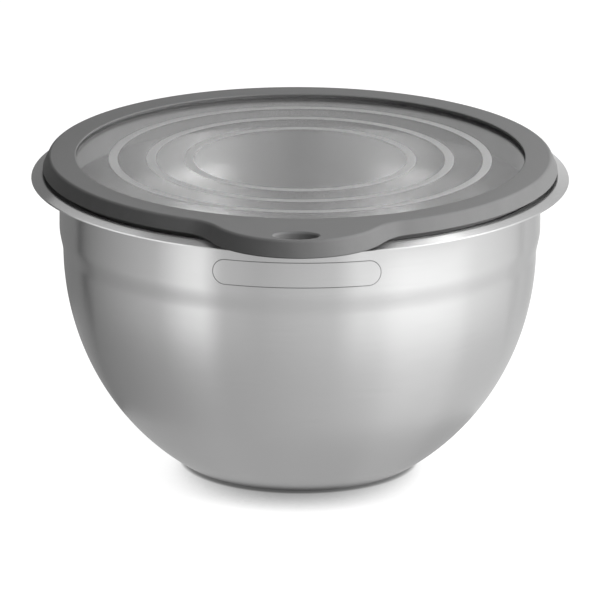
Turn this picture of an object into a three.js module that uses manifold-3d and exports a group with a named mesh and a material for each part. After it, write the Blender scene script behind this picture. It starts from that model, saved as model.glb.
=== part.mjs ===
// Mixing bowl with a lift-off lid, in millimetres, +Z up.
// The bowl is one pressed shell of stainless steel. The lid is a clear window with raised rings,
// whose edge sits in the groove of a soft rim that seals in the bowl's neck and carries a pull tab.
// The origin is the centre of the flat base, and the pull tab points along -Y.

import * as THREE from "three";
import { mergeVertices } from "three/addons/utils/BufferGeometryUtils.js";
import Module from "manifold-3d";

const wasm = await Module();
wasm.setup();

// Bowl sizes
const NECK_BORE = 120; // inside radius of the straight collar
const SHEET = 0.8; // thickness of the steel
const BOWL_HEIGHT = 148.6; // table to the top of the flange
const BASE_RADIUS = 56; // where the line of the wall meets the table
const BASE_BEND = 1.8; // length of base and of wall that the rounded corner takes up
const WALL_CENTRE_DEPTH = 35.9; // flange down to the middle of the oval that the round wall follows
const STEP_TOP = 25.7; // flange down to the top of the step
const STEP_HEIGHT = 13; // height in which the wall steps in
const STEP_DEPTH = 1.9; // how far the wall steps in from the collar to the body
const FLANGE_WIDTH = 14.4; // collar to the outer edge of the flange
const FLANGE_BEND = 2; // radius of the top surface where the collar turns out into the flange
const EDGE_ROLL = 1.4; // radius of the flange's turned-down edge
const EDGE_ROLL_ANGLE = THREE.MathUtils.degToRad(65); // how far that edge turns down

// Lid rim sizes. Heights are above the flange.
const FLANGE_SHOW = 5.8; // width of flange that shows outside the skirt
const LID_HEIGHT = 10.7; // top of the rim
const SKIRT_GAP = 1.9; // flange to the lower edge of the skirt
const SKIRT_DRAFT = 3.1; // lean of the skirt between its lower and its upper edge
const SKIRT_ROUND = 0.6; // rounding of the skirt's lower edge
const SKIRT_WALL = 3; // thickness of the skirt at its lower edge
const TOP_ROUND = 2; // rounding of the rim's upper outer edge
const TOP_WIDTH = 13.6; // flat top, from the skirt's upper edge to the window
const TOP_WALL = 3.2; // thickness of the top over the hollow under it
const LIP_ROUND = 0.5; // rounding of the lip around the window
const LAND_WIDTH = 1.8; // ring that sits on the flange
const PLUG_DEPTH = 9; // seal wall below the flange
const PLUG_WALL = 3; // thickness of the seal wall
const PLUG_LEAD_IN = 1; // chamfer at the foot of the seal wall
const BEAD_COUNT = 2; // sealing beads around the seal wall
const BEAD_HEIGHT = 0.8; // how far a bead stands out
const BEAD_WIDTH = 1.6; // height of a bead along the wall

// Pull tab sizes, in plan
const TAB_LENGTH = 25.1; // skirt to the tip of the tab
const TAB_NOSE_RADIUS = 48; // round front of the tab
const TAB_ROOT_RADIUS = 25; // hollow curve where the tab runs into the skirt
const HOLE_LENGTH = 22; // hanging hole, across the tab
const HOLE_WIDTH = 12.6; // hanging hole, along the tab
const HOLE_FRONT_WALL = 5.6; // tip of the tab to the hole

// Window sizes
const WINDOW_RECESS = 2.1; // top of the rim down to the window's face
const WINDOW_THICKNESS = 2;
const WINDOW_GRIP = 2.5; // how far the edge goes into the rim
const GROOVE_LIP = 2; // thickness of the rim under the window's edge
const RING_COUNT = 3; // raised rings on the face
const RING_MARGIN = 18.8; // edge of the clear area to the middle of the outer ring
const RING_PITCH = 19; // middle of one ring to the middle of the next
const RING_WIDTH = 4.5; // foot of a ring
const RING_TOP_WIDTH = 3.5; // flat top of a ring
const RING_HEIGHT = 0.8;

// Clearances
const SEAT_GAP = 0.3; // lid to flange, and seal to collar
const GROOVE_GAP = 0.3; // window to the groove that holds it

// Facets
const BOWL_STEPS = 64; // around the axis
const WINDOW_STEPS = 64;
const RIM_STEPS = 96;
const ARC_STEPS = 3; // in a small rounding
const STEP_STEPS = 4; // down the bowl's step
const WALL_STEPS = 9; // along the round wall of the bowl
const HOLE_STEPS = 24; // around the hole

const NECK_RADIUS = NECK_BORE + SHEET;
const BODY_RADIUS = NECK_RADIUS - STEP_DEPTH;
const WALL_CENTRE = BOWL_HEIGHT - WALL_CENTRE_DEPTH;
const STEP_FOOT = BOWL_HEIGHT - STEP_TOP - STEP_HEIGHT; // height where the round wall ends
const FLANGE_RADIUS = NECK_RADIUS + FLANGE_WIDTH;
const LID_RADIUS = FLANGE_RADIUS - FLANGE_SHOW; // lower edge of the skirt
const SHOULDER = LID_RADIUS - SKIRT_DRAFT; // upper edge of the skirt
const WINDOW_OPENING = SHOULDER - TOP_WIDTH; // radius of the clear area
const WINDOW_FACE = LID_HEIGHT - WINDOW_RECESS;
const WINDOW_UNDERSIDE = WINDOW_FACE - WINDOW_THICKNESS;
const TAB_TIP = LID_RADIUS + TAB_LENGTH;

const v2 = (x, y) => new THREE.Vector2(x, y);

// Points of an arc about a centre, from one angle to another, both ends included.
function arc(centre, radius, start, end) {
  const clockwise = end < start;
  const curve = new THREE.EllipseCurve(centre.x, centre.y, radius, radius, start, end, clockwise);
  return curve.getPoints(ARC_STEPS);
}

// A profile moved sideways by a distance, to its left as it is walked.
function offset(profile, distance) {
  return profile.map((point, i) => {
    const before = profile[Math.max(i - 1, 0)];
    const after = profile[Math.min(i + 1, profile.length - 1)];
    const into = point.clone().sub(before).normalize();
    const out = after.clone().sub(point).normalize();
    const along = into.clone().add(out).normalize();
    const mitre = distance / Math.max(along.dot(into), along.dot(out));
    return v2(point.x - along.y * mitre, point.y + along.x * mitre);
  });
}

// A profile in (radius, height) turned about +Z. The first facet edge lies along -Y.
function turned(profile, steps) {
  return new THREE.LatheGeometry(profile, steps).rotateX(Math.PI / 2);
}

// The outside of the steel, from the middle of the base to the end of the rolled edge.
function bowlOutside() {
  const drop = WALL_CENTRE / Math.sqrt(1 - (BASE_RADIUS / BODY_RADIUS) ** 2);
  const wallStart = -Math.asin(WALL_CENTRE / drop);
  const wallEnd = Math.asin((STEP_FOOT - WALL_CENTRE) / drop);
  const wall = new THREE.EllipseCurve(0, WALL_CENTRE, BODY_RADIUS, drop, wallStart, wallEnd);
  const bendShare = BASE_BEND / wall.getLength();
  const corner = new THREE.QuadraticBezierCurve(
    v2(BASE_RADIUS - BASE_BEND, 0),
    v2(BASE_RADIUS, 0),
    wall.getPointAt(bendShare),
  );
  const wallPoints = Array.from({ length: WALL_STEPS - 1 }, (_, i) =>
    wall.getPointAt(bendShare + (1 - bendShare) * ((i + 1) / WALL_STEPS)),
  );
  const stepFoot = wall.getPointAt(1);
  const stepTop = v2(NECK_RADIUS, BOWL_HEIGHT - STEP_TOP);
  const third = STEP_HEIGHT / 3;
  const step = new THREE.CubicBezierCurve(
    stepFoot,
    stepFoot.clone().addScaledVector(wall.getTangentAt(1), third),
    v2(stepTop.x, stepTop.y - third),
    stepTop,
  );
  const bendCentre = v2(NECK_BORE + FLANGE_BEND, BOWL_HEIGHT - FLANGE_BEND);
  const rollCentre = v2(FLANGE_RADIUS - EDGE_ROLL, BOWL_HEIGHT - EDGE_ROLL);
  return [
    v2(0, 0),
    ...corner.getPoints(ARC_STEPS),
    ...wallPoints,
    ...step.getPoints(STEP_STEPS),
    ...arc(bendCentre, FLANGE_BEND - SHEET, Math.PI, Math.PI / 2),
    ...arc(rollCentre, EDGE_ROLL - SHEET, Math.PI / 2, Math.PI / 2 - EDGE_ROLL_ANGLE),
  ];
}

// The steel shell: its outside, then its inside back to the axis.
function bowlGeometry() {
  const outside = bowlOutside();
  const inside = offset(outside, SHEET);
  return turned([...outside, ...inside.reverse()], BOWL_STEPS);
}

// The clear disc, from the middle of its underside round to the middle of its face.
function windowGeometry() {
  const edge = WINDOW_OPENING + WINDOW_GRIP;
  const rings = Array.from({ length: RING_COUNT }, (_, i) => {
    const middle = WINDOW_OPENING - RING_MARGIN - RING_PITCH * i;
    return [
      v2(middle + RING_WIDTH / 2, WINDOW_FACE),
      v2(middle + RING_TOP_WIDTH / 2, WINDOW_FACE + RING_HEIGHT),
      v2(middle - RING_TOP_WIDTH / 2, WINDOW_FACE + RING_HEIGHT),
      v2(middle - RING_WIDTH / 2, WINDOW_FACE),
    ];
  }).flat();
  const profile = [
    v2(0, WINDOW_UNDERSIDE),
    v2(edge, WINDOW_UNDERSIDE),
    v2(edge, WINDOW_FACE),
    ...rings,
    v2(0, WINDOW_FACE),
  ];
  return turned(profile, WINDOW_STEPS);
}

// The sealing beads on the plug, from its foot up.
function beadPoints(plugRadius) {
  const zone = PLUG_DEPTH - PLUG_LEAD_IN - FLANGE_BEND;
  const pitch = zone / BEAD_COUNT;
  return Array.from({ length: BEAD_COUNT }, (_, i) => {
    const middle = PLUG_LEAD_IN - PLUG_DEPTH + pitch * i + BEAD_WIDTH / 2;
    return [
      v2(plugRadius - BEAD_HEIGHT, middle - BEAD_WIDTH / 2),
      v2(plugRadius, middle),
      v2(plugRadius - BEAD_HEIGHT, middle + BEAD_WIDTH / 2),
    ];
  }).flat();
}

// The part of the rim's section that is round everywhere: lip, window groove, plug, land and hollow.
function rimCore() {
  const groove = WINDOW_OPENING + WINDOW_GRIP + GROOVE_GAP;
  const grooveTop = WINDOW_FACE + GROOVE_GAP;
  const grooveFoot = WINDOW_UNDERSIDE - GROOVE_GAP;
  const plug = NECK_BORE - SEAT_GAP;
  const plugInside = plug - BEAD_HEIGHT - PLUG_WALL;
  const seatCentre = v2(NECK_BORE + FLANGE_BEND, -FLANGE_BEND);
  const land = seatCentre.x + LAND_WIDTH;
  const hollowTop = LID_HEIGHT - TOP_WALL;
  const skirtInside = LID_RADIUS - SKIRT_WALL;
  return [
    v2(WINDOW_OPENING + LIP_ROUND, LID_HEIGHT),
    v2(WINDOW_OPENING, LID_HEIGHT - LIP_ROUND),
    v2(WINDOW_OPENING, grooveTop),
    v2(groove, grooveTop),
    v2(groove, grooveFoot),
    v2(WINDOW_OPENING, grooveFoot),
    v2(WINDOW_OPENING, grooveFoot - GROOVE_LIP / 2),
    v2(plugInside, grooveFoot - GROOVE_LIP),
    v2(plugInside, -PLUG_DEPTH),
    v2(plug - BEAD_HEIGHT - PLUG_LEAD_IN, -PLUG_DEPTH),
    ...beadPoints(plug),
    ...arc(seatCentre, FLANGE_BEND + SEAT_GAP, Math.PI, Math.PI / 2),
    v2(land, SEAT_GAP),
    v2(land, hollowTop),
    v2(skirtInside, hollowTop),
    v2(skirtInside, SKIRT_GAP),
  ];
}

// The part of the rim's section that runs out around the tab: the skirt's outer side.
function rimSkirt() {
  const lean = Math.atan2(SKIRT_DRAFT, LID_HEIGHT - SKIRT_GAP);
  const setIn = TOP_ROUND * Math.tan((Math.PI / 2 - lean) / 2);
  const roundCentre = v2(SHOULDER - setIn, LID_HEIGHT - TOP_ROUND);
  return [
    v2(LID_RADIUS - SKIRT_ROUND, SKIRT_GAP),
    v2(LID_RADIUS - SKIRT_ROUND * Math.tan(lean), SKIRT_GAP + SKIRT_ROUND),
    ...arc(roundCentre, TOP_ROUND, lean, Math.PI / 2),
  ];
}

// How far the tab's outline stands outside the skirt's circle, at an angle from the -Y direction.
// In plan, the nose is one circle and the two roots are hollow circles that touch nose and skirt.
function tabReachAt(angle) {
  const turn = Math.abs(angle);
  const noseCentre = TAB_TIP - TAB_NOSE_RADIUS;
  const noseToRoot = TAB_NOSE_RADIUS + TAB_ROOT_RADIUS;
  const rootCentre = LID_RADIUS + TAB_ROOT_RADIUS;
  const rootAngle = Math.acos(
    (rootCentre ** 2 + noseCentre ** 2 - noseToRoot ** 2) / (2 * rootCentre * noseCentre),
  );
  const nose = v2(noseCentre, 0);
  const root = v2(rootCentre * Math.cos(rootAngle), rootCentre * Math.sin(rootAngle));
  const touch = nose.clone().lerp(root, TAB_NOSE_RADIUS / noseToRoot);
  if (turn >= rootAngle) return 0;
  if (turn < touch.angle()) {
    const across = noseCentre * Math.sin(turn);
    const along = noseCentre * Math.cos(turn);
    return along + Math.sqrt(TAB_NOSE_RADIUS ** 2 - across ** 2) - LID_RADIUS;
  }
  const across = rootCentre * Math.sin(rootAngle - turn);
  const along = rootCentre * Math.cos(rootAngle - turn);
  return along - Math.sqrt(TAB_ROOT_RADIUS ** 2 - across ** 2) - LID_RADIUS;
}

// The turned rim with its skirt pushed out to the tab's outline.
function rimRing() {
  const core = rimCore();
  const skirt = rimSkirt();
  const section = [...core, ...skirt, core[0]];
  const ring = turned(section, RIM_STEPS);
  const position = ring.getAttribute("position");
  for (let i = 0; i < position.count; i += 1) {
    const place = (i % section.length) - core.length;
    if (place >= 0 && place < skirt.length) {
      const x = position.getX(i);
      const y = position.getY(i);
      const radius = Math.hypot(x, y);
      const grown = (radius + tabReachAt(Math.atan2(x, -y))) / radius;
      position.setXY(i, x * grown, y * grown);
    }
  }
  return ring;
}

// The oval hole through the tab, longer than the tab is thick.
function hangingHole() {
  const centre = TAB_TIP - HOLE_FRONT_WALL - HOLE_WIDTH / 2;
  const oval = new THREE.Shape().absellipse(0, -centre, HOLE_LENGTH / 2, HOLE_WIDTH / 2, 0, 2 * Math.PI);
  return new THREE.ExtrudeGeometry(oval, {
    depth: LID_HEIGHT + SKIRT_GAP,
    bevelEnabled: false,
    curveSegments: HOLE_STEPS,
  });
}

// A closed geometry as a solid.
function solidOf(geometry) {
  const bare = geometry.clone();
  bare.deleteAttribute("normal");
  bare.deleteAttribute("uv");
  const merged = mergeVertices(bare);
  return new wasm.Manifold(
    new wasm.Mesh({
      numProp: 3,
      vertProperties: new Float32Array(merged.getAttribute("position").array),
      triVerts: new Uint32Array(merged.index.array),
    }),
  );
}

// A solid as a geometry.
function geometryOf(solid) {
  const mesh = solid.getMesh();
  const geometry = new THREE.BufferGeometry();
  geometry.setAttribute("position", new THREE.BufferAttribute(mesh.vertProperties, 3));
  geometry.setIndex(new THREE.BufferAttribute(mesh.triVerts, 1));
  geometry.computeVertexNormals();
  return geometry;
}

function rimGeometry() {
  return geometryOf(solidOf(rimRing()).subtract(solidOf(hangingHole())));
}

function named(name, geometry, material) {
  const mesh = new THREE.Mesh(geometry, material);
  mesh.name = name;
  return mesh;
}

const satinSteel = new THREE.MeshStandardMaterial({ color: 0xb9b9b9, roughness: 0.32, metalness: 1 });
const greySilicone = new THREE.MeshStandardMaterial({ color: 0x767778, roughness: 0.6, metalness: 0 });
const smokyClear = new THREE.MeshStandardMaterial({
  color: 0xb4b6b7,
  roughness: 0.08,
  metalness: 0,
  transparent: true,
  opacity: 0.35,
});

const lid = new THREE.Group();
lid.position.z = BOWL_HEIGHT;
lid.add(named("lid_rim", rimGeometry(), greySilicone));
lid.add(named("lid_window", windowGeometry(), smokyClear));

const mixingBowl = new THREE.Group();
mixingBowl.add(named("bowl", bowlGeometry(), satinSteel));
mixingBowl.add(lid);

export default mixingBowl;
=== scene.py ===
# %% [markdown]
# # A steel mixing bowl with a lift-off lid
# This lesson dresses a finished construction model. The frame holds three plain solids, in metres, with
# the table at height zero and the lid's pull tab pointing along -Y: the pressed steel bowl, the soft grey
# rim of the lid and the clear window in it. Blender adds what those solids leave out: fine curves,
# rounded edges and the finish of each surface. Nothing is moved or resized, so every new piece lies where
# its solid lies.

# %% Load the frame
import math

import bpy
from mathutils import Matrix, Vector


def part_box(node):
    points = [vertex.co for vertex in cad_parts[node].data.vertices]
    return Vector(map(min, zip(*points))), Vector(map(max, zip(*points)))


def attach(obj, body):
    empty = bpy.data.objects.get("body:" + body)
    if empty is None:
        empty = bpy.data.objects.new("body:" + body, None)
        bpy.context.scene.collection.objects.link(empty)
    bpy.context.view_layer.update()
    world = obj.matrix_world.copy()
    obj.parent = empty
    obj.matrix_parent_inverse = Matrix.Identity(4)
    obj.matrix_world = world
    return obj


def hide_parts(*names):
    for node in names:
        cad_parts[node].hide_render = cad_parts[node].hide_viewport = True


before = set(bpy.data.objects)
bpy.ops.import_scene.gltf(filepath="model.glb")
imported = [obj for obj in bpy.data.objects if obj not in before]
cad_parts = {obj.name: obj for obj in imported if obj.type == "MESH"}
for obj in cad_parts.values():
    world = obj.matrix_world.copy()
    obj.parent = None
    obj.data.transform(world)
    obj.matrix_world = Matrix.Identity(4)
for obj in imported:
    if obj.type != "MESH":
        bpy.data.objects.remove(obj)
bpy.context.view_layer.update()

# %% Sizes that the frame gives
MM = 0.001
bowl_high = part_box("bowl")[1]
rim_low, rim_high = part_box("lid_rim")
window_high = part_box("lid_window")[1]
FLANGE_TOP = bowl_high.z
FLANGE_REACH = bowl_high.x
LID_TOP = rim_high.z
PLUG_FOOT = rim_low.z
WINDOW_EDGE = window_high.x
print(f"bowl {FLANGE_TOP / MM:.1f} mm high and {2 * FLANGE_REACH / MM:.1f} mm wide")
print(f"lid up to {LID_TOP / MM:.1f} mm")

# %% [markdown]
# ## Camera
# The photograph was taken from far away with a long lens, a little above the rim, so that the bowl shows
# almost without perspective. An orthographic camera would come close, but a very long lens keeps the
# small narrowing towards the back and still frames the object from other sides. The distance follows from
# the lens, the sensor and the real width that one pixel of the picture covers.

# %% Camera
VIEW_AZIMUTH = math.radians(0.7)
VIEW_ELEVATION = math.radians(16.71)
VIEW_ROLL = math.radians(0.3)
LENS = 800
SENSOR = 36
IMAGE_WIDTH = 600
PIXEL_WIDTH = 0.5033 * MM
AIM = Vector((0.25 * MM, 0, 83.3 * MM))


def direction(azimuth, elevation):
    """A way out from the axis, with azimuth 0 along -Y, where the tab points, and growing towards +X."""
    level = math.cos(elevation)
    return Vector((math.sin(azimuth) * level, -math.cos(azimuth) * level, math.sin(elevation)))


towards_camera = direction(VIEW_AZIMUTH, VIEW_ELEVATION)
camera_distance = LENS / SENSOR * IMAGE_WIDTH * PIXEL_WIDTH
look = (-towards_camera).to_track_quat("-Z", "Y").to_matrix() @ Matrix.Rotation(VIEW_ROLL, 3, "Z")
bpy.ops.object.camera_add(location=AIM + towards_camera * camera_distance, rotation=look.to_euler())
camera = bpy.context.object
camera.data.lens = LENS
camera.data.sensor_width = SENSOR
bpy.context.scene.camera = camera
print(f"camera {camera_distance:.2f} m away")

# %% [markdown]
# ## Turning a profile
# The bowl, the rim and the window are all round, so each starts as half of its cross-section. By hand you
# would add a plane, merge it to a single vertex, walk that vertex along the section with extrude, and
# spin the line around the axis. A circle that is extruded and scaled ring by ring gives the same mesh,
# but then the section can't be read off the code as a drawing.

# %% Outlines with round corners
ARC_STEP = 0.3 * MM
ARC_LEAST = 3
UPWARD = math.pi / 2
INWARD = math.pi
DOWNWARD = 1.5 * math.pi


def arc(centre, radius, start, end):
    """Points on an arc, both ends included, about ARC_STEP apart."""
    steps = max(ARC_LEAST, math.ceil(abs(end - start) * radius / ARC_STEP))
    angles = [start + (end - start) * i / steps for i in range(steps + 1)]
    return [Vector((centre[0] + radius * math.cos(a), centre[1] + radius * math.sin(a))) for a in angles]


def rounded(corners):
    """A closed outline of (radius, height, rounding) corners, with an arc where there is a rounding."""
    outline = []
    for i, (radius, height, rounding) in enumerate(corners):
        corner = Vector((radius, height))
        back = (Vector(corners[i - 1][:2]) - corner).normalized()
        ahead = (Vector(corners[(i + 1) % len(corners)][:2]) - corner).normalized()
        half = back.angle(ahead) / 2
        if rounding == 0:
            outline.append(corner)
            continue
        centre = corner + (back + ahead).normalized() * rounding / math.sin(half)
        start = corner + back * rounding / math.tan(half) - centre
        end = corner + ahead * rounding / math.tan(half) - centre
        sweep = math.atan2(start.cross(end), start.dot(end))
        first = math.atan2(start.y, start.x)
        outline += arc(centre, rounding, first, first + sweep)
    return outline


print(f"a quarter turn of 1 mm has {len(arc((0, 0), 1 * MM, 0, UPWARD))} points")

# %% Spinning a line
SEED_SIZE = 1 * MM
WELD_DISTANCE = 0.002 * MM


def leave_all():
    """Back to object mode with nothing selected, so that the next operator acts on what it adds."""
    if bpy.context.mode != "OBJECT":
        bpy.ops.object.mode_set(mode="OBJECT")
    bpy.ops.object.select_all(action="DESELECT")


def turn(name, profile, steps):
    """Walk a profile of (radius, height) points with one vertex, then spin the line about the Z axis."""
    leave_all()
    bpy.ops.mesh.primitive_plane_add(size=SEED_SIZE)
    piece = bpy.context.object
    piece.name = piece.data.name = name
    bpy.ops.object.mode_set(mode="EDIT")
    bpy.ops.mesh.select_mode(type="VERT")
    bpy.ops.mesh.merge(type="CENTER")
    bpy.ops.transform.translate(value=(profile[0].x, 0, profile[0].y))
    for here, there in zip(profile, profile[1:]):
        stride = (there.x - here.x, 0, there.y - here.y)
        bpy.ops.mesh.extrude_vertices_move(TRANSFORM_OT_translate={"value": stride})
    bpy.ops.mesh.select_all(action="SELECT")
    bpy.ops.mesh.spin(steps=steps, angle=2 * math.pi, center=(0, 0, 0), axis=(0, 0, 1))
    bpy.ops.mesh.select_all(action="SELECT")
    bpy.ops.mesh.remove_doubles(threshold=WELD_DISTANCE)
    bpy.ops.mesh.normals_make_consistent(inside=False)
    bpy.ops.object.mode_set(mode="OBJECT")
    return piece


print(f"points closer than {WELD_DISTANCE / MM:.3f} mm are merged")

# %% Modifiers and smooth shading
SMOOTH_ANGLE = math.radians(40)


def apply_modifier(piece, kind, **settings):
    """Add a modifier, set it up and apply it."""
    modifier = piece.modifiers.new(kind.title(), kind)
    for setting, value in settings.items():
        setattr(modifier, setting, value)
    bpy.context.view_layer.objects.active = piece
    bpy.ops.object.modifier_apply(modifier=modifier.name)


def smooth(piece):
    """Shade a piece smooth, with flat faces kept flat beside their rounded edges."""
    leave_all()
    piece.select_set(True)
    bpy.context.view_layer.objects.active = piece
    bpy.ops.object.shade_smooth_by_angle(angle=SMOOTH_ANGLE)
    apply_modifier(piece, "WEIGHTED_NORMAL", keep_sharp=True)
    print(f"{piece.name}: {len(piece.data.polygons)} faces")


print(f"edges of more than {math.degrees(SMOOTH_ANGLE):.0f} degrees stay sharp")

# %% [markdown]
# ## Bowl
# The real bowl is one sheet of stainless steel, pressed round, with a flat base, a wall that follows an
# oval, a soft step under a straight collar, and a flange. The flange is a ledge for the lid, a low ridge,
# and a brim that falls away to a rolled edge. A solid with a hollow cut out of it would have an uneven
# wall, and Solidify on an open sheet gives little say over the edge. Here the outside of the sheet is
# drawn once, and the inside is the same line moved in by the sheet's thickness.

# %% Measures of the bowl
SHEET = 0.8 * MM
NECK_RADIUS = 120.8 * MM
BASE_RADIUS = 56 * MM
BASE_BEND = 1.8 * MM
WALL_CENTRE_DEPTH = 35.9 * MM
STEP_TOP = 25.7 * MM
STEP_HEIGHT = 13 * MM
STEP_DEPTH = 1.9 * MM
body_radius = NECK_RADIUS - STEP_DEPTH
print(f"{2 * body_radius / MM:.1f} mm wide at the wall, {2 * NECK_RADIUS / MM:.1f} mm at the collar")

# %% Base, wall and step
BASE_RINGS = 6
BEND_POINTS = 6
WALL_POINTS = 44
STEP_POINTS = 16


def blend_curve(ends, share):
    """A point on the Bezier curve with these control points."""
    if len(ends) == 1:
        return ends[0]
    return blend_curve([a.lerp(b, share) for a, b in zip(ends, ends[1:])], share)


def bowl_body():
    """The outside of the steel, from the middle of the base to the foot of the collar."""
    centre_height = FLANGE_TOP - WALL_CENTRE_DEPTH
    drop = centre_height / math.sqrt(1 - (BASE_RADIUS / body_radius) ** 2)
    foot_height = FLANGE_TOP - STEP_TOP - STEP_HEIGHT
    start = -math.asin(centre_height / drop)
    end = math.asin((foot_height - centre_height) / drop)
    start += BASE_BEND / math.hypot(body_radius * math.sin(start), drop * math.cos(start))

    def wall_at(angle):
        return Vector((body_radius * math.cos(angle), centre_height + drop * math.sin(angle)))

    base = [Vector(((BASE_RADIUS - BASE_BEND) * i / BASE_RINGS, 0)) for i in range(BASE_RINGS)]
    corner = [Vector((BASE_RADIUS - BASE_BEND, 0)), Vector((BASE_RADIUS, 0)), wall_at(start)]
    bend = [blend_curve(corner, i / BEND_POINTS) for i in range(BEND_POINTS)]
    wall = [wall_at(start + (end - start) * i / WALL_POINTS) for i in range(WALL_POINTS)]
    foot = wall_at(end)
    rise = Vector((-body_radius * math.sin(end), drop * math.cos(end))).normalized()
    top = Vector((NECK_RADIUS, FLANGE_TOP - STEP_TOP))
    third = STEP_HEIGHT / 3
    shoulder = [foot, foot + rise * third, top - Vector((0, third)), top]
    step = [blend_curve(shoulder, i / STEP_POINTS) for i in range(STEP_POINTS + 1)]
    return base + bend + wall + step


base_to_collar = bowl_body()
print(f"base, wall and step: {len(base_to_collar)} points")

# %% Flange
FLANGE_BEND = 2 * MM
LEDGE_REACH = 124.2 * MM
RIDGE_REACH = 129.6 * MM
RIDGE_RISE = 1.4 * MM
RIDGE_ROUND = 3 * MM
RIDGE_RAMP = math.radians(16)
BRIM_FALL = math.radians(22)
EDGE_ROUND = 1 * MM
EDGE_TURN = math.radians(85)


def bowl_flange():
    """The underside of the flange, from the bend above the collar to the end of the rolled edge."""
    bend_centre = (NECK_RADIUS - SHEET + FLANGE_BEND, FLANGE_TOP - FLANGE_BEND)
    ridge_centre = Vector((RIDGE_REACH, FLANGE_TOP + RIDGE_RISE - RIDGE_ROUND))
    edge_centre = Vector((FLANGE_REACH - EDGE_ROUND * math.sin(EDGE_TURN), 0))
    fall = Vector((math.sin(BRIM_FALL), math.cos(BRIM_FALL)))
    run = edge_centre.x - ridge_centre.x - (RIDGE_ROUND - EDGE_ROUND) * fall.x
    edge_centre.y = ridge_centre.y + (RIDGE_ROUND - EDGE_ROUND) * fall.y - run * math.tan(BRIM_FALL)
    return [
        *arc(bend_centre, FLANGE_BEND - SHEET, INWARD, UPWARD),
        Vector((LEDGE_REACH, FLANGE_TOP - SHEET)),
        *arc(ridge_centre, RIDGE_ROUND - SHEET, UPWARD + RIDGE_RAMP, UPWARD - BRIM_FALL),
        *arc(edge_centre, EDGE_ROUND - SHEET, UPWARD - BRIM_FALL, UPWARD - EDGE_TURN),
    ]


outside = base_to_collar + bowl_flange()
print(f"outside of the bowl: {len(outside)} points")

# %% Bowl
BOWL_STEPS = 240


def moved_in(profile, distance):
    """The same line moved to its left as it is walked."""
    moved = []
    for i, point in enumerate(profile):
        into = (point - profile[max(i - 1, 0)]).normalized()
        out = (profile[min(i + 1, len(profile) - 1)] - point).normalized()
        along = (into + out).normalized()
        mitre = distance / max(along.dot(into), along.dot(out))
        moved.append(point + Vector((-along.y, along.x)) * mitre)
    return moved


bowl_shell = turn("bowl_shell", outside + moved_in(outside, SHEET)[::-1], BOWL_STEPS)
smooth(bowl_shell)

# %% [markdown]
# ## Lid rim
# The rim is moulded from soft grey silicone. Its section has a lip around the window, the groove that
# grips the window, a seal wall with two beads, a land that rests on the flange, and a leaning skirt. A
# pull tab grows out of the skirt. The tab could be a second mesh joined by a boolean, but the seam would
# show. Instead the section is spun as a plain ring, and the points of the skirt then move out to the
# tab's outline, which is made of a round nose and two hollow roots that touch it. Away from the tab the
# skirt's foot stays a little higher, which leaves a dark gap above the flange.

# %% Measures of the rim
LID_RADIUS = 129.4 * MM
TOP_ROUND = 2 * MM
TOP_WALL = 3.2 * MM
SKIRT_GAP = 1.9 * MM
SKIRT_DRAFT = 3.1 * MM
SKIRT_ROUND = 0.6 * MM
SKIRT_WALL = 3 * MM
WINDOW_OPENING = 112.7 * MM
WINDOW_RECESS = 2.1 * MM
WINDOW_THICKNESS = 2 * MM
GROOVE_GAP = 0.3 * MM
SEAT_GAP = 0.3 * MM
NECK_BORE = NECK_RADIUS - SHEET
window_face = LID_TOP - WINDOW_RECESS
window_underside = window_face - WINDOW_THICKNESS
groove_radius = WINDOW_EDGE + GROOVE_GAP
groove_foot = window_underside - GROOVE_GAP
plug_radius = NECK_BORE - SEAT_GAP
hollow_top = LID_TOP - TOP_WALL
skirt_foot = FLANGE_TOP + SKIRT_GAP
skirt_inside = LID_RADIUS - SKIRT_WALL
print(f"window's face {window_face / MM:.1f} mm up, plug {2 * plug_radius / MM:.1f} mm wide")

# %% Rim section
LIP_ROUND = 0.5 * MM
LIP_OVERHANG = 0.4 * MM
LIP_UNDERCUT = 0.9 * MM
GROOVE_LIP = 2 * MM
LAND_WIDTH = 1.8 * MM
PLUG_WALL = 3 * MM
PLUG_LEAD_IN = 1 * MM
BEAD_COUNT = 2
BEAD_HEIGHT = 0.8 * MM
BEAD_WIDTH = 1.6 * MM
SMALL_ROUND = 0.25 * MM
bead_foot = plug_radius - BEAD_HEIGHT
plug_inside = bead_foot - PLUG_WALL
land_edge = NECK_BORE + FLANGE_BEND + LAND_WIDTH


def bead_corners():
    """The sealing beads around the plug, from its foot up."""
    zone = FLANGE_TOP - FLANGE_BEND - PLUG_FOOT - PLUG_LEAD_IN
    for i in range(BEAD_COUNT):
        middle = PLUG_FOOT + PLUG_LEAD_IN + zone / BEAD_COUNT * i + BEAD_WIDTH / 2
        yield bead_foot, middle - BEAD_WIDTH / 2, SMALL_ROUND
        yield plug_radius, middle, SMALL_ROUND
        yield bead_foot, middle + BEAD_WIDTH / 2, SMALL_ROUND


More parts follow.
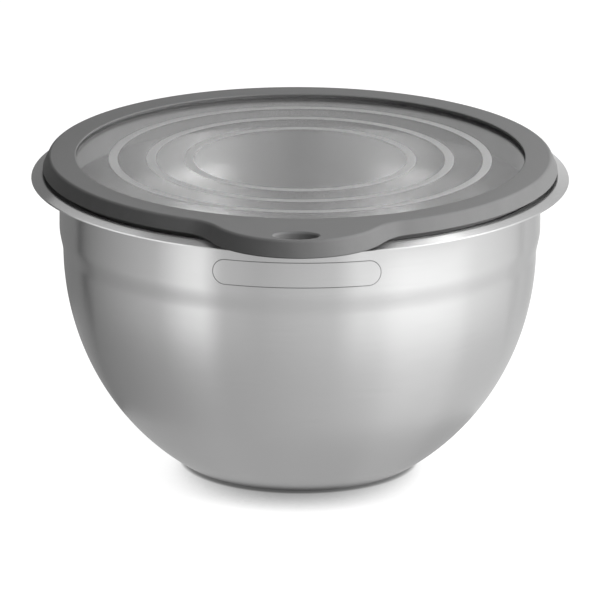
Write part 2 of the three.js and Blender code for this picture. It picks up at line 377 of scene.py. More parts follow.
rim_section = rounded([
    (WINDOW_OPENING - LIP_OVERHANG, LID_TOP, LIP_ROUND),
    (WINDOW_OPENING + LIP_UNDERCUT, window_face + GROOVE_GAP, 0),
    (groove_radius, window_face + GROOVE_GAP, SMALL_ROUND),
    (groove_radius, groove_foot, SMALL_ROUND),
    (WINDOW_OPENING, groove_foot, SMALL_ROUND),
    (WINDOW_OPENING, groove_foot - GROOVE_LIP / 2, SMALL_ROUND),
    (plug_inside, groove_foot - GROOVE_LIP, LIP_ROUND),
    (plug_inside, PLUG_FOOT, LIP_ROUND),
    (bead_foot - PLUG_LEAD_IN, PLUG_FOOT, SMALL_ROUND),
    *bead_corners(),
    (plug_radius, FLANGE_TOP - FLANGE_BEND, 0),
    (plug_radius, FLANGE_TOP + SEAT_GAP, FLANGE_BEND + SEAT_GAP - WELD_DISTANCE),
    (land_edge, FLANGE_TOP + SEAT_GAP, SMALL_ROUND),
    (land_edge, hollow_top, SMALL_ROUND),
    (skirt_inside, hollow_top, SMALL_ROUND),
    (skirt_inside, skirt_foot, SMALL_ROUND),
    (LID_RADIUS, skirt_foot, SKIRT_ROUND),
    (LID_RADIUS - SKIRT_DRAFT, LID_TOP, TOP_ROUND),
])
print(f"rim section of {len(rim_section)} points")

# %% Outline of the rim with its tab
TAB_REACH = 25.1 * MM
TAB_TIP = LID_RADIUS + TAB_REACH
TAB_NOSE = 48 * MM
TAB_ROOT = 25 * MM


def rim_reach(angle, inset):
    """Radius of the rim's outline, drawn in by an inset, at an angle from the tab's direction."""
    turned = abs(angle)
    nose_centre = TAB_TIP - TAB_NOSE
    root_centre = LID_RADIUS + TAB_ROOT
    apart = TAB_NOSE + TAB_ROOT
    root_angle = math.acos((root_centre**2 + nose_centre**2 - apart**2) / (2 * root_centre * nose_centre))
    if turned >= root_angle:
        return LID_RADIUS - inset
    nose = Vector((nose_centre, 0))
    root = Vector((root_centre * math.cos(root_angle), root_centre * math.sin(root_angle)))
    touch = nose.lerp(root, (TAB_NOSE - inset) / apart)
    if turned < math.atan2(touch.y, touch.x):
        across = nose_centre * math.sin(turned)
        return nose_centre * math.cos(turned) + math.sqrt((TAB_NOSE - inset) ** 2 - across**2)
    across = root_centre * math.sin(root_angle - turned)
    return root_centre * math.cos(root_angle - turned) - math.sqrt((TAB_ROOT + inset) ** 2 - across**2)


print(f"the tab's tip is {rim_reach(0, 0) / MM:.1f} mm from the axis")

# %% Rim ring
RIM_STEPS = 360
SKIRT_LIFT = 1.5 * MM
LIFT_FADE = 3
lifted_below = LID_TOP - 2 * TOP_WALL


def on_skirt(radius, height):
    """Whether a point of the section is on the rim's outer side, which runs out around the tab."""
    outside_hollow = radius > skirt_inside + SKIRT_ROUND
    near_edge = radius > LID_RADIUS - SKIRT_DRAFT - TOP_ROUND
    return outside_hollow or near_edge and height > hollow_top + SMALL_ROUND


def skirt_lift(angle):
    """How far the skirt's foot stays above the tab's underside, less and less where the tab runs out."""
    run_out = (rim_reach(angle, 0) - LID_RADIUS) / TAB_REACH
    return SKIRT_LIFT * (1 - run_out) ** LIFT_FADE


rim_ring = turn("rim_ring", rim_section + rim_section[:1], RIM_STEPS)
for vertex in rim_ring.data.vertices:
    radius = math.hypot(vertex.co.x, vertex.co.y)
    angle = math.atan2(vertex.co.x, -vertex.co.y)
    if radius > skirt_inside - WELD_DISTANCE and vertex.co.z < lifted_below:
        vertex.co.z += skirt_lift(angle)
    if on_skirt(radius, vertex.co.z):
        vertex.co.xy *= rim_reach(angle, LID_RADIUS - radius) / radius
print(f"rim ring reaches {-min(v.co.y for v in rim_ring.data.vertices) / MM:.2f} mm at the tab")

# %% [markdown]
# The hanging hole is an oval with soft edges. It is cut with a boolean, by a stack of ovals that flares
# at the top and at the bottom, so that the cut itself leaves the rounded edge. A bevel on the cut's edge
# would have to work its way across the ring's narrow faces.

# %% Hanging hole
HOLE_LENGTH = 22 * MM
HOLE_WIDTH = 12.6 * MM
HOLE_FRONT_WALL = 5.6 * MM
HOLE_ROUND = 1.5 * MM
HOLE_FOOT_ROUND = 0.6 * MM
HOLE_VERTICES = 96
FLARE_OVERLAP = 0.06 * MM
hole_middle = (LID_TOP + skirt_foot) / 2


def flare(edge_height, rounding, start, end):
    """(height, widening) rings of a hole's rounded edge, from one angle to another."""
    centre = edge_height - math.copysign(rounding - FLARE_OVERLAP, edge_height - hole_middle)
    for point in arc((rounding, centre), rounding, start, end):
        yield point.y, point.x


def hole_cutter():
    """A stack of ovals, each extruded from the one below and stretched to its own width."""
    centre_y = -(TAB_TIP - HOLE_FRONT_WALL - HOLE_WIDTH / 2)
    rings = [
        *flare(skirt_foot, HOLE_FOOT_ROUND, DOWNWARD, INWARD),
        *flare(LID_TOP, HOLE_ROUND, INWARD, UPWARD),
    ]
    height, widening = rings[0]
    half = Vector((HOLE_LENGTH / 2, HOLE_WIDTH / 2, 0))
    size = half + Vector((widening, widening, 0))
    leave_all()
    bpy.ops.mesh.primitive_circle_add(
        vertices=HOLE_VERTICES, radius=1, fill_type="NGON", location=(0, centre_y, height), scale=(1, 1, 1)
    )
    cutter = bpy.context.object
    bpy.ops.object.mode_set(mode="EDIT")
    bpy.ops.transform.resize(value=(size.x, size.y, 1), center_override=(0, centre_y, height))
    for ring_height, widening in rings[1:]:
        wider = half + Vector((widening, widening, 0))
        bpy.ops.mesh.extrude_region_move(TRANSFORM_OT_translate={"value": (0, 0, ring_height - height)})
        stretch = (wider.x / size.x, wider.y / size.y, 1)
        bpy.ops.transform.resize(value=stretch, center_override=(0, centre_y, ring_height))
        size, height = wider, ring_height
    bpy.ops.mesh.select_all(action="SELECT")
    bpy.ops.mesh.normals_make_consistent(inside=False)
    bpy.ops.object.mode_set(mode="OBJECT")
    return cutter


cutter = hole_cutter()
apply_modifier(rim_ring, "BOOLEAN", object=cutter, operation="DIFFERENCE", solver="EXACT")
bpy.data.objects.remove(cutter)
smooth(rim_ring)

# %% [markdown]
# ## Window
# The window is a clear, slightly smoky plastic disc with three raised frosted rings on its face. Its edge
# sits in the rim's groove. It could stay a flat disc with the rings painted on, but raised rings catch
# the light at their edges, so they are part of the section that is spun. Their faces get a frosted
# material, and the edge, which is bonded to the rim, gets a matt one.

# %% Window disc
WINDOW_STEPS = 240
RING_COUNT = 3
RING_MARGIN = 18.8 * MM
RING_PITCH = 19 * MM
RING_WIDTH = 4.5 * MM
RING_TOP_WIDTH = 3.7 * MM
RING_RELIEF = 0.1 * MM
RING_ROUND = 0.5 * MM
ring_top = window_face + RING_RELIEF
ring_middles = [WINDOW_OPENING - RING_MARGIN - RING_PITCH * i for i in range(RING_COUNT)]


def ring_corners(middle):
    """One raised ring, from its outer foot to its inner foot."""
    yield middle + RING_WIDTH / 2, window_face, RING_ROUND
    yield middle + RING_TOP_WIDTH / 2, ring_top, RING_ROUND
    yield middle - RING_TOP_WIDTH / 2, ring_top, RING_ROUND
    yield middle - RING_WIDTH / 2, window_face, RING_ROUND


window_section = rounded([
    (0, window_underside, 0),
    (WINDOW_EDGE, window_underside, SMALL_ROUND),
    (WINDOW_EDGE, window_face, SMALL_ROUND),
    *[corner for middle in ring_middles for corner in ring_corners(middle)],
    (0, window_face, 0),
])
window_disc = turn("window_disc", window_section, WINDOW_STEPS)
smooth(window_disc)

# %% Faces of the rings and of the edge


def in_ring(face):
    """Whether a face of the disc belongs to one of its raised rings."""
    radius = math.hypot(face.center.x, face.center.y)
    near = any(abs(radius - middle) < RING_WIDTH / 2 for middle in ring_middles)
    return near and face.center.z > window_face + WELD_DISTANCE


def at_edge(face):
    """Whether a face of the disc belongs to its edge, which is bonded to the rim."""
    return math.hypot(face.center.x, face.center.y) > WINDOW_EDGE - SMALL_ROUND


frosted_faces = [face.index for face in window_disc.data.polygons if in_ring(face)]
bonded_faces = [face.index for face in window_disc.data.polygons if at_edge(face)]
print(f"{len(frosted_faces)} frosted faces, {len(bonded_faces)} bonded faces")

# %% [markdown]
# ## Materials
# Every finish is built from nodes on Object coordinates, so that it stays with its piece in any pose. In
# the Shader Editor each node is a few clicks, but in a script it takes several lines. A few helpers add a
# node, set its options and fill its inputs, which keeps the recipes short.

# %% Helpers for nodes


def add_node(tree, kind, inputs=None, **settings):
    """Add a node, set its options, and fill or link its inputs."""
    made = tree.nodes.new(kind)
    for setting, value in settings.items():
        setattr(made, setting, value)
    for socket, value in (inputs or {}).items():
        if isinstance(value, bpy.types.NodeSocket):
            tree.links.new(value, made.inputs[socket])
        else:
            made.inputs[socket].default_value = value
    return made


def calculate(tree, operation, *values):
    """The result of a Math node."""
    return add_node(tree, "ShaderNodeMath", dict(enumerate(values)), operation=operation).outputs[0]


def new_material(name):
    """An empty node material, its tree and its output node."""
    material = bpy.data.materials.new(name)
    material.use_nodes = True
    material.node_tree.nodes.clear()
    return material, material.node_tree, add_node(material.node_tree, "ShaderNodeOutputMaterial")


def grey(level):
    """A neutral colour."""
    return (level, level, level, 1)


# %% Helpers for patterns
NOISE_LOW = 0.3
NOISE_HIGH = 0.7


def object_place(tree):
    """Object coordinates, which stay with a piece in any pose."""
    return add_node(tree, "ShaderNodeTexCoord").outputs["Object"]


def parts(tree, vector):
    """The X, Y and Z of a vector."""
    return add_node(tree, "ShaderNodeSeparateXYZ", {0: vector}).outputs


def angle_around(tree, place):
    """The angle around the axis, 0 at the tab's side and growing towards +X."""
    return calculate(tree, "ARCTAN2", place["X"], calculate(tree, "MULTIPLY", place["Y"], -1.0))


def spread(tree, value, low, high, new_low, new_high, **settings):
    """A value moved from one range to another, and kept inside it."""
    inputs = {"Value": value, "From Min": low, "From Max": high, "To Min": new_low, "To Max": new_high}
    return add_node(tree, "ShaderNodeMapRange", inputs, **settings).outputs[0]


def noise(tree, place, scale, detail):
    """The value of a Noise Texture."""
    inputs = {"Vector": place, "Scale": scale, "Detail": detail}
    return add_node(tree, "ShaderNodeTexNoise", inputs).outputs[0]


def uneven(tree, value, low, high):
    """A noise, which mostly stays between NOISE_LOW and NOISE_HIGH, moved to a range of its own."""
    return spread(tree, value, NOISE_LOW, NOISE_HIGH, low, high)


def bump(tree, height, strength, distance):
    """A normal that is tilted by the slopes of a height."""
    inputs = {"Height": height, "Strength": strength, "Distance": distance}
    return add_node(tree, "ShaderNodeBump", inputs).outputs[0]


print(f"a noise counts from {NOISE_LOW} to {NOISE_HIGH}")

# %% [markdown]
# The steel is satin polished on a lathe: countless fine lines run around the axis. They blur reflections
# along the section and leave them crisp around the bowl, which is why bright bands stand upright on its
# wall. An anisotropic metal does this without modelled scratches. A noise that is stretched around the
# axis adds the faint unevenness of the lines. A blank outline with round ends is etched into the collar
# below the tab. It has no depth to speak of, so a mask of its line is enough, worked out from the
# distance to a straight bar.

# %% Etched outline
BADGE_LENGTH = 85 * MM
BADGE_HEIGHT = 12.8 * MM
BADGE_MIDDLE = 132.1 * MM
BADGE_LINE_CORE = 0.16 * MM
BADGE_LINE_EDGE = 0.29 * MM


def etched_outline(tree, place, radius):
    """A mask that is 1 on the line around the blank badge."""
    around = angle_around(tree, place)
    along = calculate(tree, "ABSOLUTE", calculate(tree, "MULTIPLY", around, NECK_RADIUS))
    half_straight = (BADGE_LENGTH - BADGE_HEIGHT) / 2
    past_straight = calculate(tree, "MAXIMUM", calculate(tree, "SUBTRACT", along, half_straight), 0.0)
    up = calculate(tree, "SUBTRACT", place["Z"], BADGE_MIDDLE)
    past_squared = calculate(tree, "MULTIPLY", past_straight, past_straight)
    up_squared = calculate(tree, "MULTIPLY", up, up)
    from_bar = calculate(tree, "SQRT", calculate(tree, "ADD", past_squared, up_squared))
    off_line = calculate(tree, "ABSOLUTE", calculate(tree, "SUBTRACT", from_bar, BADGE_HEIGHT / 2))
    line = spread(tree, off_line, BADGE_LINE_CORE, BADGE_LINE_EDGE, 1.0, 0.0)
    outside_only = calculate(tree, "GREATER_THAN", radius, NECK_RADIUS - SHEET / 2)
    return calculate(tree, "MULTIPLY", line, outside_only)


print(f"etched outline {BADGE_LENGTH / MM:.0f} mm long, {BADGE_MIDDLE / MM:.0f} mm up")

# %% Turned lines
STEEL_DETAIL = 3.0
LINES_PER_METRE = 2200.0
LINES_AROUND = 5.0


def turned_lines(tree, place, flat, radius):
    """A noise that changes fast along the section and slowly around the axis."""
    outwards = add_node(tree, "ShaderNodeVectorMath", {0: flat}, operation="NORMALIZE").outputs[0]
    heading = parts(tree, outwards)
    section = add_node(tree, "ShaderNodeCombineXYZ", {
        "X": calculate(tree, "MULTIPLY", radius, LINES_PER_METRE),
        "Y": calculate(tree, "MULTIPLY", place["Z"], LINES_PER_METRE),
        "Z": calculate(tree, "MULTIPLY", heading["X"], LINES_AROUND),
    }).outputs[0]
    return add_node(tree, "ShaderNodeTexNoise", {
        "Vector": section,
        "W": calculate(tree, "MULTIPLY", heading["Y"], LINES_AROUND),
        "Scale": 1.0,
        "Detail": STEEL_DETAIL,
    }, noise_dimensions="4D").outputs[0]


print(f"turned lines: {LINES_PER_METRE * MM:.1f} to the millimetre")

# %% Satin steel
STEEL_TONE = 0.55
TONE_SPREAD = 0.008
STEEL_ROUGHNESS = 0.25
LINE_ROUGHNESS = 0.006
SMUDGE_ROUGHNESS = 0.008
STEEL_ANISOTROPY = 1.0
QUARTER_TURN = 0.25
LINE_BUMP = 0.02
LINE_DEPTH = 0.01 * MM
SMUDGES_PER_METRE = 28.0
ETCHED_TONE = 0.3
ETCHED_ROUGHNESS = 0.25


def bowl_steel():
    """Steel with turned lines, faint smudges and the etched outline."""
    material, tree, output = new_material("bowl_steel")
    coordinates = object_place(tree)
    place = parts(tree, coordinates)
    flat = add_node(tree, "ShaderNodeCombineXYZ", {"X": place["X"], "Y": place["Y"]}).outputs[0]
    radius = add_node(tree, "ShaderNodeVectorMath", {0: flat}, operation="LENGTH").outputs["Value"]
    lines = turned_lines(tree, place, flat, radius)
    smudges = noise(tree, coordinates, SMUDGES_PER_METRE, STEEL_DETAIL)
    etched = etched_outline(tree, place, radius)
    clean = uneven(tree, lines, STEEL_TONE - TONE_SPREAD, STEEL_TONE + TONE_SPREAD)
    tones = {"Factor": etched, "A": clean, "B": ETCHED_TONE}
    tone = add_node(tree, "ShaderNodeMix", tones, data_type="FLOAT").outputs[0]
    lined = uneven(tree, lines, STEEL_ROUGHNESS - LINE_ROUGHNESS, STEEL_ROUGHNESS + LINE_ROUGHNESS)
    smudged = calculate(tree, "ADD", lined, uneven(tree, smudges, -SMUDGE_ROUGHNESS, SMUDGE_ROUGHNESS))
    roughness = calculate(tree, "ADD", smudged, calculate(tree, "MULTIPLY", etched, ETCHED_ROUGHNESS))
    steel = add_node(tree, "ShaderNodeBsdfPrincipled", {
        "Base Color": tone,
        "Metallic": 1.0,
        "Roughness": roughness,
        "Anisotropic": STEEL_ANISOTROPY,
        "Anisotropic Rotation": QUARTER_TURN,
        "Tangent": add_node(tree, "ShaderNodeTangent", direction_type="RADIAL", axis="Z").outputs[0],
        "Normal": bump(tree, lines, LINE_BUMP, LINE_DEPTH),
    })
    tree.links.new(steel.outputs[0], output.inputs["Surface"])
    return material


bowl_shell.data.materials.append(bowl_steel())
print("bowl:", bowl_shell.data.materials[0].name)

# %% [markdown]
# Moulded parts copy the fine texture of their mould. The silicone and the plastics share one node group
# for it: a small noise for the height of the skin, and a larger one for its uneven tone. A group is built
# once and placed in each material with its own sizes, so a change to the skin reaches all of them.

# %% Skin of moulded parts
GRAIN_DETAIL = 2.0
CLOUD_DETAIL = 4.0


def moulded_skin():
    """The group of the skin, which puts out its height and its uneven tone."""
    group = bpy.data.node_groups.new("moulded_skin", "ShaderNodeTree")
    for name in ("Grain Size", "Cloud Size"):
        group.interface.new_socket(name, in_out="INPUT", socket_type="NodeSocketFloat")
    for name in ("Height", "Cloud"):
        group.interface.new_socket(name, in_out="OUTPUT", socket_type="NodeSocketFloat")
    given = add_node(group, "NodeGroupInput").outputs
    coordinates = object_place(group)
    grain_scale = calculate(group, "DIVIDE", 1.0, given["Grain Size"])
    cloud_scale = calculate(group, "DIVIDE", 1.0, given["Cloud Size"])
    add_node(group, "NodeGroupOutput", {
        "Height": noise(group, coordinates, grain_scale, GRAIN_DETAIL),
        "Cloud": noise(group, coordinates, cloud_scale, CLOUD_DETAIL),
    })
    return group


skin_group = moulded_skin()


def skin(tree, grain_size, cloud_size):
    """The moulded skin placed in a material with its own sizes."""
    sizes = {"Grain Size": grain_size, "Cloud Size": cloud_size}
    return add_node(tree, "ShaderNodeGroup", sizes, node_tree=skin_group).outputs


print("group:", skin_group.name)

# %% [markdown]
# The rim's silicone is matt and dark grey, with a dry skin that hardly shines. Its colour and roughness
# drift a little with the cloud noise, and the grain gives it a fine, shallow bump. A flat grey would look
# like paint.

# %% Grey silicone
SILICONE_TONES = (0.203, 0.219)
SILICONE_ROUGHNESS = (0.5, 0.58)
SILICONE_SHINE = 0.2
SILICONE_GRAIN = 0.35 * MM
SILICONE_CLOUD = 9 * MM
SILICONE_BUMP = 0.12
SILICONE_DEPTH = 0.05 * MM


def rim_silicone():
    """Matt grey silicone with a moulded skin."""
    material, tree, output = new_material("rim_silicone")
    surface = skin(tree, SILICONE_GRAIN, SILICONE_CLOUD)
    silicone = add_node(tree, "ShaderNodeBsdfPrincipled", {
        "Base Color": uneven(tree, surface["Cloud"], *SILICONE_TONES),
        "Roughness": uneven(tree, surface["Cloud"], *SILICONE_ROUGHNESS),
        "Specular IOR Level": SILICONE_SHINE,
        "Normal": bump(tree, surface["Height"], SILICONE_BUMP, SILICONE_DEPTH),
    })
    tree.links.new(silicone.outputs[0], output.inputs["Surface"])
    return material


rim_ring.data.materials.append(rim_silicone())
print("rim:", rim_ring.data.materials[0].name)

# %% [markdown]
# Clear plastic needs two answers. To the eye it is glass: it bends, reflects and tints. To the lamps it
# should stay open, or the inside of the bowl would sit in a black shadow, so shadow rays pass through a
# transparent shader. The rings have the same plastic with a rough, milky surface. The bonded edge lets no
# light out, or it would gleam like the edge of a sheet of glass.

# %% Clear and frosted plastic
PLASTIC_IOR = 1.49
PLASTIC_CLOUD = 30 * MM
PLASTIC_BUMP = 0.05
PLASTIC_DEPTH = 0.2 * MM
TINT_SPREAD = 0.01
LAMP_SHARE = 0.78
ROUGHNESS_SHARE = 0.15


def plastic(name, tint, roughness, transmission, grain_size):
    """Plastic with a moulded skin, open to the lamps."""
    material, tree, output = new_material(name)
    surface = skin(tree, grain_size, PLASTIC_CLOUD)
    smoothest = roughness * (1 - ROUGHNESS_SHARE)
    roughest = roughness * (1 + ROUGHNESS_SHARE)
    body = add_node(tree, "ShaderNodeBsdfPrincipled", {
        "Base Color": uneven(tree, surface["Cloud"], tint - TINT_SPREAD, tint + TINT_SPREAD),
        "Roughness": uneven(tree, surface["Height"], smoothest, roughest),
        "IOR": PLASTIC_IOR,
        "Transmission Weight": transmission,
        "Normal": bump(tree, surface["Cloud"], PLASTIC_BUMP, PLASTIC_DEPTH),
    })
    open_air = add_node(tree, "ShaderNodeBsdfTransparent", {"Color": grey(LAMP_SHARE)})
    to_lamp = add_node(tree, "ShaderNodeLightPath").outputs["Is Shadow Ray"]
    mixed = add_node(tree, "ShaderNodeMixShader", {0: to_lamp, 1: body.outputs[0], 2: open_air.outputs[0]})
    tree.links.new(mixed.outputs[0], output.inputs["Surface"])
    return material


window_plastic = plastic("window_plastic", tint=0.86, roughness=0.04, transmission=1.0, grain_size=1 * MM)
ring_plastic = plastic("ring_plastic", tint=0.72, roughness=0.4, transmission=0.54, grain_size=0.3 * MM)
edge_plastic = plastic("edge_plastic", tint=0.2, roughness=0.5, transmission=0.0, grain_size=0.3 * MM)
finishes = [window_plastic, ring_plastic, edge_plastic]
for finish in finishes:
    window_disc.data.materials.append(finish)
for faces, finish in ((frosted_faces, ring_plastic), (bonded_faces, edge_plastic)):
    for index in faces:
        window_disc.data.polygons[index].material_index = finishes.index(finish)
print("window:", [finish.name for finish in finishes])

# %% [markdown]
# ## Studio
# The picture is a product shot on white. A bright lamp on a white floor would spill onto the bowl, so the
# white comes from the world and from a glow of the floor that only the eye, mirrors and glass can see. A
# ray that a matt surface has scattered doesn't see it either, so it adds no light to matt surfaces.

# %% White background
AMBIENT = 0.03
WHITE = 1.0
FIRST_SCATTERING = 1.0


def unscattered(tree):
    """1 for rays that have met no matt surface on their way from the eye, else 0."""
    scatterings = add_node(tree, "ShaderNodeLightPath").outputs["Diffuse Depth"]
    return calculate(tree, "LESS_THAN", scatterings, FIRST_SCATTERING)


def sees_background(tree):
    """1 for unscattered rays from the camera, from mirrors and through glass, else 0."""
    ray = add_node(tree, "ShaderNodeLightPath").outputs
    seen = calculate(tree, "MAXIMUM", ray["Is Camera Ray"], ray["Is Glossy Ray"])
    seen = calculate(tree, "MAXIMUM", seen, ray["Is Transmission Ray"])
    return calculate(tree, "MULTIPLY", seen, unscattered(tree))


world = bpy.data.worlds.new("studio")
world.use_nodes = True
world.node_tree.nodes.clear()
backdrop = add_node(world.node_tree, "ShaderNodeBackground", {
    "Color": grey(WHITE),
    "Strength": spread(world.node_tree, sees_background(world.node_tree), 0.0, 1.0, AMBIENT, WHITE),
})
add_node(world.node_tree, "ShaderNodeOutputWorld", {"Surface": backdrop.outputs[0]})
bpy.context.scene.world = world
bpy.context.scene.view_settings.view_transform = "Standard"
print("world:", world.name)

# %% [markdown]
# A floor that glows hides the lamps' shadow, so its glow fades where little of the room is left open
# above it. The Ambient Occlusion node measures that. One of them leans back, which lets the soft shadow
# fall a little to the front, and one with a very short reach draws the dark line right under the base.

# %% Floor
FLOOR_SIZE = 12
FLOOR_TONE = 0.2
SHADOW_REACH = 55 * MM
SHADOW_LEAN = math.radians(45)
SHADOW_SAMPLES = 32
SHADOW_CLOSED = 0.08
SHADOW_OPEN = 0.39
SHADOW_DARKEST = 0.2
CONTACT_REACH = 2.5 * MM
CONTACT_CLOSED = 0.3
CONTACT_OPEN = 0.9
CONTACT_DARKEST = 0.3


def pale_floor():
    """A matt floor with a white glow, dimmed below and beside the bowl by a painted shadow."""
    material, tree, output = new_material("pale_floor")
    matt = add_node(tree, "ShaderNodeBsdfDiffuse", {"Color": grey(FLOOR_TONE)})
    lean = {"Y": math.sin(SHADOW_LEAN), "Z": math.cos(SHADOW_LEAN)}
    room = add_node(tree, "ShaderNodeAmbientOcclusion", {
        "Distance": SHADOW_REACH,
        "Normal": add_node(tree, "ShaderNodeCombineXYZ", lean).outputs[0],
    }, samples=SHADOW_SAMPLES).outputs["AO"]
    gap = add_node(tree, "ShaderNodeAmbientOcclusion", {"Distance": CONTACT_REACH}).outputs["AO"]
    # Painted shadow: the occlusion dims the glow into a soft shadow and a dark line under the base.
    shadow = spread(
        tree, room, SHADOW_CLOSED, SHADOW_OPEN, SHADOW_DARKEST, WHITE, interpolation_type="SMOOTHSTEP"
    )
    contact = spread(tree, gap, CONTACT_CLOSED, CONTACT_OPEN, CONTACT_DARKEST, 1.0)
    white = calculate(tree, "MULTIPLY", shadow, contact)
    glow = add_node(tree, "ShaderNodeEmission", {
        "Color": grey(WHITE),
        "Strength": calculate(tree, "MULTIPLY", sees_background(tree), white),
    })
    both = add_node(tree, "ShaderNodeAddShader", {0: matt.outputs[0], 1: glow.outputs[0]})
    tree.links.new(both.outputs[0], output.inputs["Surface"])
    return material


leave_all()
bpy.ops.mesh.primitive_plane_add(size=FLOOR_SIZE)
floor = bpy.context.object
floor.name = "floor"
floor.data.materials.append(pale_floor())
print("floor:", FLOOR_SIZE, "m")

# %% [markdown]
# Three soft boxes light what is matt. The large one stands at the right, a weak one at the left keeps
# that side of the rim dark but readable, and one behind brightens the far edge of the lid.

# %% Soft boxes
MIDDLE = Vector((0, 0, FLANGE_TOP / 2))


def soft_box(name, azimuth, elevation, distance, size, power):
    """A square lamp that faces the middle of the bowl, with its angles in degrees."""
    place = MIDDLE + distance * direction(math.radians(azimuth), math.radians(elevation))
    aim = (MIDDLE - place).to_track_quat("-Z", "Y").to_euler()
    leave_all()
    bpy.ops.object.light_add(type="AREA", location=place, rotation=aim)
    lamp = bpy.context.object
    lamp.name = lamp.data.name = name
    lamp.data.shape = "SQUARE"
    lamp.data.size = size
    lamp.data.energy = power
    print(f"{name}: {power} W")


soft_box("right_box", azimuth=65, elevation=30, distance=1.2, size=0.9, power=16.5)
soft_box("left_box", azimuth=-60, elevation=30, distance=1.2, size=0.9, power=1)
soft_box("back_box", azimuth=135, elevation=45, distance=1.2, size=0.7, power=3.5)

# %% [markdown]
# Polished steel is only as good as the room that it mirrors. A photographer hangs a tent of white cloth
# around such a bowl, and lets more or less light through on each side. Here the tent is a set of open
# rings that glow, with a colour ramp around each ring: dim at the left, a narrow bright panel at the
# front left, a wide one at the right. The eye and matt surfaces don't see the tent, so it neither covers
# the white background nor gives the rim more than a sheen. Lamps alone would show as hard spots in the
# steel.

# %% Glow of the tent
TENT_PEAK = 7.0
HALF_TURN = 180


def glow_material(name, colour_of):
    """A material that glows up to TENT_PEAK, in a colour that is worked out in its tree."""
    material, tree, output = new_material(name)
    strength = calculate(tree, "MULTIPLY", unscattered(tree), TENT_PEAK)
    glow = add_node(tree, "ShaderNodeEmission", {"Color": colour_of(tree), "Strength": strength})
    tree.links.new(glow.outputs[0], output.inputs["Surface"])
    return material


def around_axis(tree, stops):
    """A colour ramp around the axis, with the brightness given at some azimuths in degrees."""
    around = angle_around(tree, parts(tree, object_place(tree)))
    share = spread(tree, around, -math.pi, math.pi, 0.0, 1.0)
    ramp = add_node(tree, "ShaderNodeValToRGB", {"Fac": share})
    elements = ramp.color_ramp.elements
    while len(elements) < len(stops):
        elements.new(1.0)
    for element, (azimuth, brightness) in zip(elements, stops):
        element.position = (azimuth + HALF_TURN) / (2 * HALF_TURN)
        element.color = grey(brightness / TENT_PEAK)
    return ramp.outputs[0]


def only_in_reflections(card, material, in_mirrors=True, through_glass=False):
    """Hide a stage card from the eye and from matt surfaces, so that only mirrors or glass show it."""
    card.data.materials.append(material)
    card.visible_camera = False
    card.visible_diffuse = False
    card.visible_shadow = False
    card.visible_glossy = in_mirrors
    card.visible_transmission = through_glass


print(f"the tent glows up to {TENT_PEAK:.0f} times white")

# %% Rings of the tent
TENT_RADIUS = 0.27
TENT_STEPS = 128
SHELF_RADIUS = 0.11
SHELF_EDGE = 0.062
SHELF_FOOT = 0.5 * MM
SHELF_HEIGHT = 1 * MM
WALL_HEIGHT = 0.26
UPPER_RADIUS = 0.45
UPPER_HEIGHT = 0.75


def tent_ring(name, foot, top, stops, **seen_by):
    """One ring of the tent, between a (radius, height) foot and top."""
    leave_all()
    bpy.ops.mesh.primitive_cone_add(
        vertices=TENT_STEPS, radius1=foot[0], radius2=top[0], depth=top[1] - foot[1],
        end_fill_type="NOTHING", location=(0, 0, (foot[1] + top[1]) / 2),
    )
    ring = bpy.context.object
    ring.name = name
    bpy.ops.object.transform_apply(location=True)
    material = glow_material(name, lambda tree: around_axis(tree, stops))
    only_in_reflections(ring, material, **seen_by)
    print(f"{name}: {len(stops)} stops")


tent_ring("tent_shelf", (SHELF_RADIUS, SHELF_FOOT), (SHELF_EDGE, SHELF_HEIGHT), [
    (-180, 0.5), (0, 0.65), (180, 0.5),
])
tent_ring("tent_floor", (TENT_RADIUS, 0), (SHELF_RADIUS, SHELF_FOOT), [
    (-180, 0.6), (-105, 0.3), (-75, 0.4), (45, 0.9), (140, 0.8), (180, 0.6),
])
tent_ring("tent_wall", (TENT_RADIUS, 0), (TENT_RADIUS, WALL_HEIGHT), [
    (-180, 0.5), (-157, 0.5),
    (-153, 0.25), (-102, 0.3), (-57, 0.8),
    (-45, 1.35), (-37, 1.5), (-29, 0.85),
    (-15, 0.75), (14, 1.0),
    (23, 1.4), (80, 1.3),
    (127, 0.7), (143, 0.8),
    (151, 1.1), (156, 0.5), (180, 0.5),
])
tent_ring("tent_upper", (UPPER_RADIUS, WALL_HEIGHT), (UPPER_RADIUS, UPPER_HEIGHT), [
    (-180, 0.5), (-120, 0.8),
    (-106, 2), (-50, 2),
    (-38, 0.6), (-20, 0.3), (25, 0.3),
    (50, 2.4), (100, 2.4),
    (120, 1), (180, 0.5),
])

# %% [markdown]
# Two narrow dark cards, which photographers call flags, stand in front of the tent's wall. Each draws a
# thin dark line near one side of the collar, and the line makes the steel look polished.

# %% Flags
FLAG_STANDOFF = 2 * MM


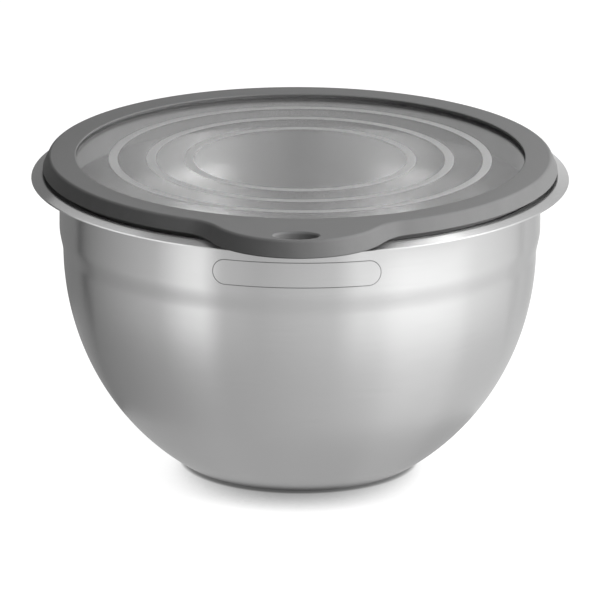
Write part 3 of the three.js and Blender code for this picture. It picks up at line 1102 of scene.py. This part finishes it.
def flag(name, azimuth, width, brightness):
    """An upright card that hides part of the tent's wall from the steel."""
    turned = math.radians(azimuth)
    place = (TENT_RADIUS - FLAG_STANDOFF) * direction(turned, 0)
    place.z = WALL_HEIGHT / 2
    leave_all()
    bpy.ops.mesh.primitive_plane_add(size=1, location=place, rotation=(math.pi / 2, 0, turned))
    card = bpy.context.object
    card.name = name
    card.scale = (width, WALL_HEIGHT, 1)
    bpy.ops.object.transform_apply(location=True, rotation=True, scale=True)
    only_in_reflections(card, glow_material(name, lambda tree: grey(brightness / TENT_PEAK)))
    print(f"{name}: {width / MM:.0f} mm wide")


flag("left_flag", azimuth=-105, width=19 * MM, brightness=0.05)
flag("right_flag", azimuth=108, width=9 * MM, brightness=0.4)

# %% [markdown]
# Through the window the eye sees the inside of the bowl, and that steel mirrors what stands outside the
# window again. Bright strips at both sides and a dim ceiling light it up. The strips show only through
# glass, because on the window's own face they would be a white glare from the side.

# %% Strips and ceiling that the inside of the bowl reflects
CEILING_HEIGHT = 1.6
CEILING_SIZE = 3
CEILING_GLOW = 0.45
tent_ring("tent_strips", (UPPER_RADIUS, WALL_HEIGHT), (UPPER_RADIUS, UPPER_HEIGHT), [
    (-180, 0.6), (-122, 1.2),
    (-107, 3.2), (-85, 3.2), (-70, 5), (-50, 5.5),
    (-38, 0.6), (-20, 0.1), (25, 0.1), (40, 2),
    (50, 7), (70, 6.5), (85, 3.2), (107, 3.2),
    (122, 1.2), (180, 0.6),
], in_mirrors=False, through_glass=True)
leave_all()
bpy.ops.mesh.primitive_plane_add(size=CEILING_SIZE, location=(0, 0, CEILING_HEIGHT))
ceiling = bpy.context.object
ceiling.name = "ceiling"
ceiling_material = glow_material("ceiling", lambda tree: grey(CEILING_GLOW / TENT_PEAK))
only_in_reflections(ceiling, ceiling_material, in_mirrors=True, through_glass=True)
print("ceiling:", CEILING_SIZE, "m wide")

# %% [markdown]
# ## Hand the pieces to the frame
# Each piece rides on the body that it belongs to and stands in for its plain solid.

# %% Riding and replacing
for piece, body, node, slot in (
    (bowl_shell, "bowl", "bowl", "satin_steel"),
    (rim_ring, "lid", "lid_rim", "grey_silicone"),
    (window_disc, "lid", "lid_window", "clear_plastic"),
):
    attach(piece, body)
    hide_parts(node)
    print(piece.name, "rides on", body)
